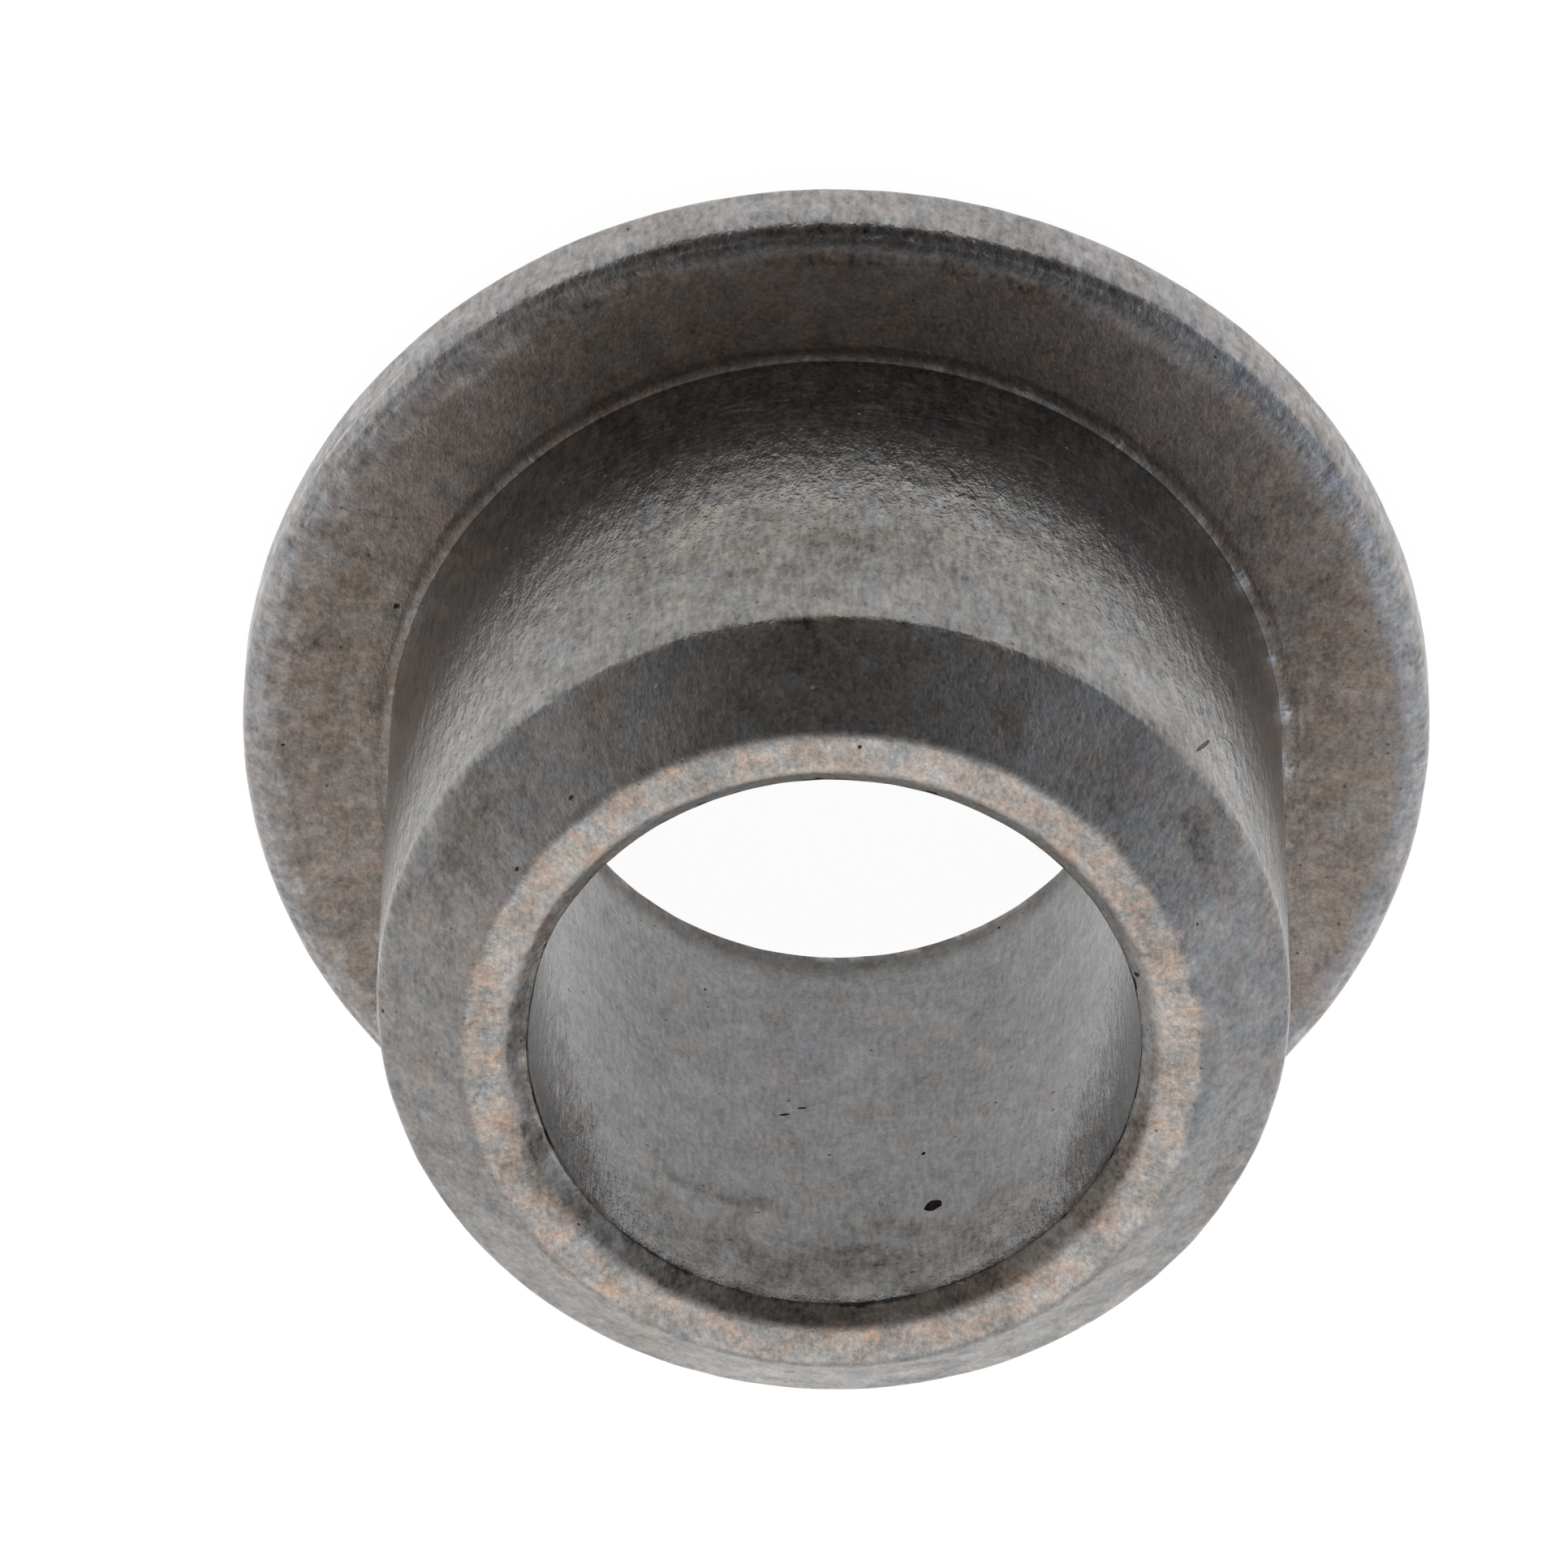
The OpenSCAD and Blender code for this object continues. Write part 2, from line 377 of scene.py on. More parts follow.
def pressing_tree():
    """Sweeps the half section round the axis, makes the skin uneven, cuts pores and marks, and sets the metal."""
    tree = bpy.data.node_groups.new("sintered_pressing", "GeometryNodeTree")
    sockets = [
        ("Half Section", "NodeSocketGeometry"), ("Steps Round", "NodeSocketInt"),
        ("Centre Radius", "NodeSocketFloat"), ("Form Error", "NodeSocketFloat"), ("Skin", "NodeSocketFloat"),
        ("Edge Wander", "NodeSocketFloat"), ("Border Wander", "NodeSocketFloat"), ("Burr", "NodeSocketFloat"),
        ("Pore Spacing", "NodeSocketFloat"), ("Pore Radius", "NodeSocketFloat"), ("Seed", "NodeSocketInt"),
        ("Marks", "NodeSocketObject"), ("Metal", "NodeSocketMaterial"),
    ]
    for name, kind in sockets:
        tree.interface.new_socket(name, in_out="INPUT", socket_type=kind)
    tree.interface.new_socket("Pressing", in_out="OUTPUT", socket_type="NodeSocketGeometry")
    given = add(tree, "NodeGroupInput", out=None).outputs

    # The sweep: the half section round a circle.
    section = add(tree, "GeometryNodeMeshToCurve", {"Mesh": given["Half Section"]})
    circle = add(tree, "GeometryNodeCurvePrimitiveCircle",
                 {"Resolution": given["Steps Round"], "Radius": given["Centre Radius"]}, mode="RADIUS")
    body = add(tree, "GeometryNodeCurveToMesh", {"Curve": circle, "Profile Curve": section})

    # The unevenness: noises in millimetres, each from minus half its height to half its height.
    place = add(tree, "GeometryNodeInputPosition")
    in_mm = add(tree, "ShaderNodeVectorMath", {0: place, "Scale": 1 / MM}, operation="SCALE")
    edge = add(tree, "GeometryNodeInputNamedAttribute", {"Name": "edge"}, data_type="FLOAT")
    on_edges = add(tree, "ShaderNodeMath", {0: given["Edge Wander"], 1: edge}, operation="MULTIPLY")
    lift = 0.0
    for scale, detail, height in (
            (0.16, 1.0, given["Form Error"]),   # waves 6 mm long
            (1.8, 4.0, given["Skin"]),          # waves of 0.5 mm and finer
            (1.1, 3.0, on_edges)):              # waves of 0.9 mm and finer
        waves = add(tree, "ShaderNodeTexNoise", {"Vector": in_mm, "Scale": scale, "Detail": detail})
        waves = add(tree, "ShaderNodeMath", {0: waves, 1: 0.5}, operation="SUBTRACT")
        lift = add(tree, "ShaderNodeMath", {0: waves, 1: height, 2: lift}, operation="MULTIPLY_ADD")

    # The burr stands on the bore's edge over the part of the mouth that faces +X.
    east = add(tree, "ShaderNodeSeparateXYZ", {0: place}, out="X")
    north = add(tree, "ShaderNodeSeparateXYZ", {0: place}, out="Y")
    bearing = add(tree, "ShaderNodeMath", {0: east, 1: north}, operation="ARCTAN2")
    burr = add(tree, "GeometryNodeInputNamedAttribute", {"Name": "mouth_edge"}, data_type="FLOAT")
    for none, full in BURR_ENDS:
        part = add(tree, "ShaderNodeMapRange", {0: bearing, 1: math.radians(none), 2: math.radians(full)})
        burr = add(tree, "ShaderNodeMath", {0: burr, 1: part}, operation="MULTIPLY")
    lift = add(tree, "ShaderNodeMath", {0: burr, 1: given["Burr"], 2: lift}, operation="MULTIPLY_ADD")
    normal = add(tree, "GeometryNodeInputNormal")
    offset = add(tree, "ShaderNodeVectorMath", {0: normal, "Scale": lift}, operation="SCALE")
    uneven = add(tree, "GeometryNodeSetPosition", {"Geometry": body, "Offset": offset})

    # Large pores: scattered rough balls, half sunk into the skin.
    scatter = add(tree, "GeometryNodeDistributePointsOnFaces",
                  {"Mesh": uneven, "Distance Min": given["Pore Spacing"], "Density Max": PORE_DENSITY,
                   "Seed": given["Seed"]}, distribute_method="POISSON")
    ball = add(tree, "GeometryNodeMeshIcoSphere", {"Radius": given["Pore Radius"], "Subdivisions": 2})
    ball = add(tree, "GeometryNodeStoreNamedAttribute", {"Geometry": ball, "Name": "pit", "Value": 1.0},
               data_type="FLOAT", domain="POINT")
    size = add(tree, "FunctionNodeRandomValue", {0: PORE_SIZES[0], 1: PORE_SIZES[1], 8: given["Seed"]},
               data_type="FLOAT_VECTOR")
    pores = add(tree, "GeometryNodeInstanceOnPoints",
                {"Points": scatter, "Instance": ball, "Rotation": scatter.node.outputs["Rotation"], "Scale": size})
    pores = add(tree, "GeometryNodeRealizeInstances", {0: pores})
    marks = add(tree, "GeometryNodeObjectInfo", {"Object": given["Marks"]}, out="Geometry",
                transform_space="ORIGINAL")
    cut = add(tree, "GeometryNodeMeshBoolean", {"Mesh 1": uneven, "Mesh 2": pores},
              operation="DIFFERENCE", solver="MANIFOLD")
    tree.links.new(marks, cut.node.inputs["Mesh 2"])

    # The cut's new points have no finish of their own: every point takes that of the uncut skin a little to one side
    # of it, so that the borders between the finishes wander, in waves of 0.7 mm.
    whole = add(tree, "GeometryNodeRealizeInstances", {0: cut})
    side = add(tree, "ShaderNodeTexNoise", {"Vector": in_mm, "Scale": 1.5, "Detail": 3.0}, out="Color")
    side = add(tree, "ShaderNodeVectorMath", {0: side, 1: (0.5, 0.5, 0.5)}, operation="SUBTRACT")
    side = add(tree, "ShaderNodeVectorMath", {0: side, "Scale": given["Border Wander"]}, operation="SCALE")
    side = add(tree, "ShaderNodeVectorMath", {0: side, 1: place}, operation="ADD")
    for name, kind in (("skin_colour", "FLOAT_COLOR"), ("matt", "FLOAT"), ("copper", "FLOAT"), ("rubbed", "FLOAT")):
        own = add(tree, "GeometryNodeInputNamedAttribute", {"Name": name}, data_type=kind)
        near = add(tree, "GeometryNodeSampleNearestSurface", {"Mesh": uneven, "Value": own, "Sample Position": side},
                   data_type=kind)
        whole = add(tree, "GeometryNodeStoreNamedAttribute", {"Geometry": whole, "Name": name, "Value": near},
                    data_type=kind, domain="POINT")
    smooth = add(tree, "GeometryNodeSetShadeSmooth", {"Geometry": whole, "Shade Smooth": True}, domain="FACE")
    turn = add(tree, "GeometryNodeInputMeshEdgeAngle", out="Unsigned Angle")
    sharp = add(tree, "ShaderNodeMath", {0: turn, 1: SHARP}, operation="GREATER_THAN")
    smooth = add(tree, "GeometryNodeSetShadeSmooth",
                 {"Geometry": smooth, "Selection": sharp, "Shade Smooth": False}, domain="EDGE")
    metal = add(tree, "GeometryNodeSetMaterial", {"Geometry": smooth, "Material": given["Metal"]})
    add(tree, "NodeGroupOutput", {0: metal}, out=None)
    return tree


def run_tree(holder, tree, values):
    """Runs a tree on an object and returns the result as a plain mesh."""
    modifier = holder.modifiers.new(tree.name, "NODES")
    modifier.node_group = tree
    for item in tree.interface.items_tree:
        if item.in_out == "INPUT" and item.name in values:
            modifier[item.identifier] = values[item.name]
    graph = bpy.context.evaluated_depsgraph_get()
    mesh = bpy.data.meshes.new_from_object(
        holder.evaluated_get(graph), preserve_all_data_layers=True, depsgraph=graph)
    holder.modifiers.remove(modifier)
    return mesh


# ---------------------------------------------------------------- the metal

def sintered_bronze(colours):
    """Sintered bronze, oil-soaked. Powder grains of about 0.1 mm, pressed flat by the die and fused, leave a satin
    skin that is mottled grain by grain and drawn out along the die's stroke, with salmon patches of free copper,
    dark open pores, and brighter, smoother bands where the tools rubbed it. The burnish patches also lighten the
    colour as painted sheen, and the stain patches darken it as painted shade."""
    metal = bpy.data.materials.new("sintered_bronze_oil_soaked")
    metal.use_nodes = True
    tree = metal.node_tree
    tree.nodes.clear()
    skin = add(tree, "ShaderNodeAttribute", out="Color", attribute_name="skin_colour")
    matt, copper, rubbed, pit, burnish_and_sheen, stain_and_shade, scuff = (
        add(tree, "ShaderNodeAttribute", out="Fac", attribute_name=name)
        for name in ("matt", "copper", "rubbed", "pit", "burnish_and_sheen", "stain_and_shade", "scuff"))

    # Two frames in millimetres: the object's own, and one that runs round the axis in X and Y and along the stroke
    # of the die in Z, which is how height less radius changes from the bore over the nose to the rim.
    place = add(tree, "ShaderNodeTexCoord", out="Object")
    in_mm = add(tree, "ShaderNodeMapping", {"Vector": place, "Scale": (1 / MM,) * 3})
    height = add(tree, "ShaderNodeSeparateXYZ", {0: in_mm}, out="Z")
    flat = add(tree, "ShaderNodeVectorMath", {0: in_mm, 1: (1, 1, 0)}, operation="MULTIPLY")
    radius = add(tree, "ShaderNodeVectorMath", {0: flat}, out="Value", operation="LENGTH")
    around = add(tree, "ShaderNodeVectorMath", {0: flat}, operation="NORMALIZE")
    around = add(tree, "ShaderNodeVectorMath", {0: around, "Scale": MEAN_RADIUS}, operation="SCALE")
    stroke = add(tree, "ShaderNodeMath", {0: height, 1: radius}, operation="SUBTRACT")
    stroke = add(tree, "ShaderNodeCombineXYZ", {2: stroke})
    along = add(tree, "ShaderNodeVectorMath", {0: around, 1: stroke}, operation="ADD")

    # Each noise: its frame, stretch, scale per mm, detail and roughness.
    fields = {}
    for name, frame_of, stretch, scale, detail, rough in (
            ("grit", in_mm, (1, 0.55, 0.42), 9.0, 4.0, 0.7),    # grains of 0.1 mm, drawn out to 0.25 mm
            ("streak", along, (1, 1, 0.28), 6.0, 3.0, 0.65),    # rubbed streaks 0.2 mm wide and 0.6 mm long
            ("dash", along, (0.22, 0.22, 1), 6.5, 2.0, 0.6),    # scuffs 0.15 mm wide and 0.7 mm long, round the axis
            ("crinkle", along, (1, 1, 0.4), 3.2, 3.0, 0.65),    # dents 0.3 mm across
            ("mottle", in_mm, (1, 1, 1), 1.5, 5.0, 0.7),        # dark and light patches of 0.7 mm
            ("hue", in_mm, (1, 1, 1), 1.15, 5.0, 0.75),         # warm and cool patches of 0.9 mm
            ("cloud", in_mm, (1, 1, 1), 0.33, 3.0, 0.55),       # slow changes of 3 mm
            ("cluster", in_mm, (1, 1, 1), 1.4, 4.0, 0.65)):     # patches of copper of 0.7 mm
        spread = add(tree, "ShaderNodeVectorMath", {0: frame_of, 1: stretch}, operation="MULTIPLY")
        fields[name] = add(tree, "ShaderNodeTexNoise",
                           {"Vector": spread, "Scale": scale, "Detail": detail, "Roughness": rough})
    # Grains of 0.09 mm, with borders bent by about as much, each with a number of its own.
    bent = add(tree, "ShaderNodeVectorMath", {0: fields["grit"].node.outputs["Color"], "Scale": 0.09},
               operation="SCALE")
    bent = add(tree, "ShaderNodeVectorMath", {0: in_mm, 1: bent}, operation="ADD")
    grains = add(tree, "ShaderNodeTexVoronoi", {"Vector": bent, "Scale": 11.0})
    pick = add(tree, "ShaderNodeSeparateColor", {0: grains.node.outputs["Color"]})

    # Lightness: 1, and each field's swing about its middle. The burnish patches lighten it as painted sheen, and the
    # stain patches darken it as painted shade as well as oil stain.
    streak = add(tree, "ShaderNodeMath", {0: fields["streak"], 1: 0.5}, operation="SUBTRACT")
    streak = add(tree, "ShaderNodeMath", {0: streak, 1: rubbed}, operation="MULTIPLY")
    dash = add(tree, "ShaderNodeMapRange", {0: fields["dash"], 1: 0.54, 2: 0.66})
    dash = add(tree, "ShaderNodeMath", {0: dash, 1: scuff}, operation="MULTIPLY")
    swings = ((fields["grit"], 1.1), (pick, 0.18), (fields["mottle"], 0.95), (fields["cloud"], 0.6))
    light = 1 - sum(swing for _, swing in swings) / 2
    for field, swing in (*swings, (streak, 1.9), (burnish_and_sheen, 0.28), (dash, 1.2), (stain_and_shade, -0.42)):
        light = add(tree, "ShaderNodeMath", {0: field, 1: swing, 2: light}, operation="MULTIPLY_ADD")
    base = add(tree, "ShaderNodeVectorMath", {0: skin, "Scale": light}, operation="SCALE")

    # Hue: cool grey to warm brown, and brown where the oil stains and the painted shade lie.
    warm = add(tree, "ShaderNodeMapRange", {0: fields["hue"], 1: 0.33, 2: 0.67})
    warm = add(tree, "ShaderNodeMath", {0: stain_and_shade, 1: 0.7, 2: warm}, operation="MULTIPLY_ADD", use_clamp=True)
    tint = add(tree, "ShaderNodeMix", {0: warm, 6: (0.945, 1.0, 1.045, 1), 7: (1.075, 1.0, 0.92, 1)}, out=2,
               data_type="RGBA")
    base = add(tree, "ShaderNodeMix", {0: 1.0, 6: base, 7: tint}, out=2, data_type="RGBA", blend_type="MULTIPLY")

    # Free copper: soft patches, broken up by the grains.
    free = add(tree, "ShaderNodeMapRange", {0: fields["cluster"], 1: 0.41, 2: 0.68})
    free = add(tree, "ShaderNodeMath", {0: free, 1: copper}, operation="MULTIPLY")
    flecks = add(tree, "ShaderNodeMapRange", {0: pick, 1: 0.2, 2: 0.9, 3: 0.45, 4: 1.25})
    free = add(tree, "ShaderNodeMath", {0: free, 1: flecks}, operation="MULTIPLY", use_clamp=True)
    coppery = add(tree, "ShaderNodeMix", {0: 0.55, 6: base, 7: (*colours.copper, 1)}, out=2, data_type="RGBA")
    bright = add(tree, "ShaderNodeVectorMath", {0: base, 1: (1.30, 1.03, 0.87)}, operation="MULTIPLY")
    coppery = add(tree, "ShaderNodeMix", {0: 0.6, 6: coppery, 7: bright}, out=2, data_type="RGBA")
    base = add(tree, "ShaderNodeMix", {0: free, 6: base, 7: coppery}, out=2, data_type="RGBA")

    # Open pores of 0.06 mm, about one on each mm2, and the cut pits hold dark oil.
    holes = add(tree, "ShaderNodeTexVoronoi", {"Vector": in_mm, "Scale": 3.4})
    hole = add(tree, "ShaderNodeMapRange", {0: holes, 1: 0.16, 2: 0.07})
    chosen = add(tree, "ShaderNodeSeparateColor", {0: holes.node.outputs["Color"]})
    chosen = add(tree, "ShaderNodeMapRange", {0: chosen, 1: 0.88, 2: 0.94})
    hole = add(tree, "ShaderNodeMath", {0: hole, 1: chosen}, operation="MULTIPLY")
    sunk = add(tree, "ShaderNodeMapRange", {0: pit, 1: 0.2, 2: 0.9, 3: 0.0, 4: 0.85})
    sunk = add(tree, "ShaderNodeMath", {0: hole, 1: 0.55, 2: sunk}, operation="MULTIPLY_ADD", use_clamp=True)
    base = add(tree, "ShaderNodeMix", {0: sunk, 6: base, 7: (*colours.oil, 1)}, out=2, data_type="RGBA")

    # Roughness: the finish's own, raised by what the two noises take off on average.
    rough = add(tree, "ShaderNodeMath", {0: matt, 1: 0.30}, operation="ADD")
    for field, swing in ((fields["grit"], -0.25), (fields["mottle"], -0.35), (burnish_and_sheen, -0.07), (dash, -0.10),
                         (stain_and_shade, 0.08), (sunk, 0.25)):
        rough = add(tree, "ShaderNodeMath", {0: field, 1: swing, 2: rough}, operation="MULTIPLY_ADD")

    # Heights in mm: the tools flatten the grit where they rub, and leave dents and streaks there instead.
    grit_height = add(tree, "ShaderNodeMath", {0: rubbed, 1: -0.011, 2: 0.018}, operation="MULTIPLY_ADD")
    bumps = add(tree, "ShaderNodeMath", {0: fields["grit"], 1: grit_height}, operation="MULTIPLY")
    dented = add(tree, "ShaderNodeMath", {0: rubbed, 1: 0.2}, operation="ADD")
    crinkle = add(tree, "ShaderNodeMath", {0: fields["crinkle"], 1: dented}, operation="MULTIPLY")
    for field, rise in ((grains, -0.004), (fields["mottle"], 0.014), (crinkle, 0.048), (streak, 0.005),
                        (hole, -0.015)):
        bumps = add(tree, "ShaderNodeMath", {0: field, 1: rise, 2: bumps}, operation="MULTIPLY_ADD")
    relief = add(tree, "ShaderNodeBump", {"Strength": 0.8, "Distance": MM, "Height": bumps})
    # Oxide between the bright grains scatters a little light, and so does what lies in the holes.
    dull = add(tree, "ShaderNodeMapRange", {0: fields["mottle"], 1: 0.40, 2: 0.66, 3: 0.0, 4: 0.04})
    dull = add(tree, "ShaderNodeMath", {0: pick, 1: 0.08, 2: dull}, operation="MULTIPLY_ADD")
    dull = add(tree, "ShaderNodeMath", {0: dull, 1: sunk}, operation="ADD")
    bare = add(tree, "ShaderNodeMath", {0: 1.0, 1: dull}, operation="SUBTRACT", use_clamp=True)
    surface = add(tree, "ShaderNodeBsdfPrincipled",
                  {"Base Color": base, "Metallic": bare, "Roughness": rough, "Normal": relief})
    add(tree, "ShaderNodeOutputMaterial", {"Surface": surface}, out=None)
    return metal


# Patches on the skin, partly wear and oil and partly painted light and shade: burnish that sizing left, which
# also lightens the colour as painted sheen where the skin shows highlights, as round the +Y side of the chamfer;
# oil stains, which also darken it as painted shade and painted dark reflection, as at the sides of the bore near
# its mouth and on the -Y side of the rim, flange, barrel and chamfer; and scuffs that handling left. Each: what,
# the surface, degrees round from -Y towards +X, height in mm (radius on a flat face or the chamfer), reach in mm
# round the axis and along the section, and strength.
PATCHES = [
    ("burnish_and_sheen", "barrel", 4, 7.4, 1.3, 1.0, 0.9), ("burnish_and_sheen", "barrel", -13, 7.9, 2.0, 1.5, 1.0),
    ("burnish_and_sheen", "barrel", -27, 9.2, 2.0, 2.0, 0.4), ("burnish_and_sheen", "barrel", -57, 10.6, 1.2, 1.8, 1.0),
    ("burnish_and_sheen", "barrel", -38, 10.8, 1.6, 1.4, 1.0), ("burnish_and_sheen", "barrel", 52, 10.6, 1.4, 1.3, 0.6),
    ("burnish_and_sheen", "barrel", 118, 8.0, 2.2, 2.6, 0.9), ("burnish_and_sheen", "barrel", -150, 9.0, 2.6, 2.4, 0.9),
    ("burnish_and_sheen", "barrel", 170, 6.0, 2.4, 2.0, 0.8), ("burnish_and_sheen", "barrel", 18, 8.4, 0.9, 0.8, 1.4),
    ("burnish_and_sheen", "chamfer", 180, 8.6, 9.0, 1.2, 1.0), ("burnish_and_sheen", "chamfer", -27, 8.6, 2.0, 1.0, 1.6),
    ("burnish_and_sheen", "chamfer", 28, 8.6, 2.0, 1.0, 1.6), ("burnish_and_sheen", "flange", 0, 12.34, 7.0, 0.1, 1.7),
    ("stain_and_shade", "rim", 0, 1.65, 8.0, 0.08, 0.8), ("stain_and_shade", "mouth", 180, 14.1, 9.0, 0.7, 0.9),
    ("stain_and_shade", "mouth", 85, 14.1, 4.0, 0.7, 1.4), ("stain_and_shade", "flange", 88, 10.4, 2.2, 0.9, 0.5),
    ("stain_and_shade", "barrel", 14, 10.6, 1.1, 0.22, 0.9), ("stain_and_shade", "barrel", 150, 4.0, 5.0, 1.6, 0.7),
    ("stain_and_shade", "chamfer", 14, 8.3, 0.7, 0.5, 1.0), ("stain_and_shade", "chamfer", -9, 8.9, 0.6, 0.5, 1.0),
    ("stain_and_shade", "chamfer", -24, 8.5, 0.5, 0.6, 1.0), ("stain_and_shade", "chamfer", 34, 8.7, 0.6, 0.6, 1.0),
    ("burnish_and_sheen", "chamfer", 6, 8.2, 0.8, 0.4, 1.4), ("burnish_and_sheen", "chamfer", -14, 8.7, 0.9, 0.5, 1.6),
    ("scuff", "barrel", 0, 4.3, 7.5, 1.7, 1.0), ("scuff", "barrel", 130, 6.0, 6.0, 2.5, 0.7),
    ("scuff", "barrel", -120, 5.0, 5.0, 2.5, 0.7), ("scuff", "rim", 60, 0.8, 6.0, 1.0, 0.6),
    ("scuff", "rim", -140, 0.8, 6.0, 1.0, 0.6),
    ("stain_and_shade", "bore", 162, 10.45, 1.5, 0.30, 1.0), ("stain_and_shade", "bore", -166, 11.1, 1.8, 0.30, 0.7),
    ("stain_and_shade", "bore", 180, 12.6, 6.5, 1.9, 0.8), ("stain_and_shade", "bore", 0, 12.6, 6.0, 1.6, 0.5),
    ("stain_and_shade", "bore", 118, 12.7, 1.5, 2.5, 1.4), ("stain_and_shade", "bore", -118, 12.7, 1.5, 2.5, 1.4),
    ("stain_and_shade", "bore", -148, 13.2, 1.6, 0.8, 1.2), ("stain_and_shade", "mouth", -115, 14.1, 2.5, 0.7, 1.1),
    ("stain_and_shade", "barrel", 8, 9.4, 5.5, 1.8, 0.42), ("stain_and_shade", "chamfer", -58, 8.9, 2.0, 0.5, 0.6),
    ("stain_and_shade", "nose", 118, 6.95, 1.6, 0.45, 0.5), ("stain_and_shade", "nose", -120, 6.95, 1.2, 0.3, 0.4),
    ("stain_and_shade", "chamfer", 2, 8.6, 2.2, 1.3, 1.2), ("stain_and_shade", "chamfer", -38, 8.4, 1.6, 0.9, 0.5),
    ("stain_and_shade", "chamfer", 60, 8.9, 2.0, 0.8, 0.5), ("stain_and_shade", "chamfer", 152, 8.7, 1.8, 0.8, 0.5),
    ("stain_and_shade", "flange", 10, 10.9, 5.0, 1.2, 0.4), ("stain_and_shade", "flange", -80, 10.6, 3.0, 1.0, 0.4),
    ("stain_and_shade", "flange", 75, 11.0, 3.0, 1.0, 0.3), ("stain_and_shade", "flange", 0, 12.0, 8.0, 0.15, 1.3),
]


SLACK = 0.12 * MM       # how far off its ideal place a point may be and still belong to a surface
PATCH_CORE = 1.15       # what a patch of strength 1 has in its middle, before it is kept to 1
PATCH_END = 1.4         # where a patch ends for good, in parts of its reach
PATCH_WAVES = ((0.9, 1.3), (0.5, 3.1))  # height and waves per mm of the two noises that make its border uneven


def surface_at(p, s):
    """(surface, place) of a point of the skin: its height in mm on the bore, mouth, barrel and rim, or else its
    radius."""
    radius = p.xy.length
    if radius < s.bore_radius + SLACK and p.z < s.overall_length - s.mouth_depth:
        return "bore", p.z / MM
    if radius < s.bore_radius + s.mouth_width and p.z > s.flange_thickness:
        return "mouth", p.z / MM
    if p.z > s.overall_length - SLACK:
        return "nose", radius / MM
    if p.z > s.overall_length - s.nose_chamfer and radius > s.barrel_radius - s.nose_chamfer:
        return "chamfer", radius / MM
    if radius > s.flange_radius - s.rim_front / 3:
        return "rim", p.z / MM
    if p.z < SLACK:
        return "back", radius / MM
    if radius > s.barrel_radius + (SLACK if p.z < s.flange_thickness else s.relief_width):
        return "flange", radius / MM
    return "barrel", p.z / MM


def store_patches(mesh, s):
    """Stores how burnished (with painted sheen), stained (with painted shade) and scuffed each point is. Each patch
    fades towards an uneven border.
    """
    by_surface = {}
    for kind, surface, angle, place, round_reach, reach, strength in PATCHES:
        by_surface.setdefault(surface, []).append((kind, math.radians(angle), place, round_reach, reach, strength))
    values = {kind: [0.0] * len(mesh.vertices) for kind in ("burnish_and_sheen", "stain_and_shade", "scuff")}
    for vert in mesh.vertices:
        surface, at = surface_at(vert.co, s)
        p = vert.co / MM
        here = math.atan2(p.x, -p.y)
        for kind, angle, place, round_reach, reach, strength in by_surface.get(surface, ()):
            away = math.remainder(here - angle, math.tau) * p.xy.length / round_reach
            off = math.hypot(away, (at - place) / reach)
            if off < PATCH_END:
                waves = sum(rise * noise.noise(p * scale) for rise, scale in PATCH_WAVES)
                level = min(1.0, strength * (PATCH_CORE - off + waves))
                values[kind][vert.index] = max(values[kind][vert.index], level)
    for kind, levels in values.items():
        store(mesh, kind, levels)


class BUSHING_OT_build_pressing(bpy.types.Operator):
    """Sweeps the half section into the pressing, roughens and marks it, and lets it stand for the CAD body"""

    bl_idname = "bushing.build_pressing"
    bl_label = "Build Pressing"

    def execute(self, context):
        sizes, surface = context.scene.bushing_sizes, context.scene.bushing_surface
        colours = context.scene.bushing_colours
        centre_radius = (sizes.bore_radius + sizes.flange_radius) / 2
        metal = sintered_bronze(colours)
        holder = bpy.data.objects.new("half_section", section_mesh(sizes, colours, centre_radius))
        context.scene.collection.objects.link(holder)
        cutters = mark_cutters(sizes)
        mesh = run_tree(holder, pressing_tree(), {
            "Steps Round": surface.steps_round, "Centre Radius": centre_radius, "Form Error": surface.form_error,
            "Skin": surface.skin, "Edge Wander": surface.edge_wander,
            "Border Wander": surface.border_wander, "Burr": surface.burr,
            "Pore Spacing": surface.pore_spacing, "Pore Radius": surface.pore_radius, "Seed": surface.seed,
            "Marks": cutters, "Metal": metal,
        })
        for spent in (holder, cutters):
            bpy.data.objects.remove(spent)
        if not mesh.polygons:
            raise RuntimeError("the sweep of the half section made no faces")
        store_patches(mesh, sizes)
        mesh.name = "pressing"
        pressing = bpy.data.objects.new("pressing", mesh)
        context.scene.collection.objects.link(pressing)
        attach(pressing, "root")
        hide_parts(NODE)
        return {"FINISHED"}


# ---------------------------------------------------------------- studio

DARK_SIDE = (0, -0.84, 0.54)    # towards the camera's side of the room, which no lamp lights


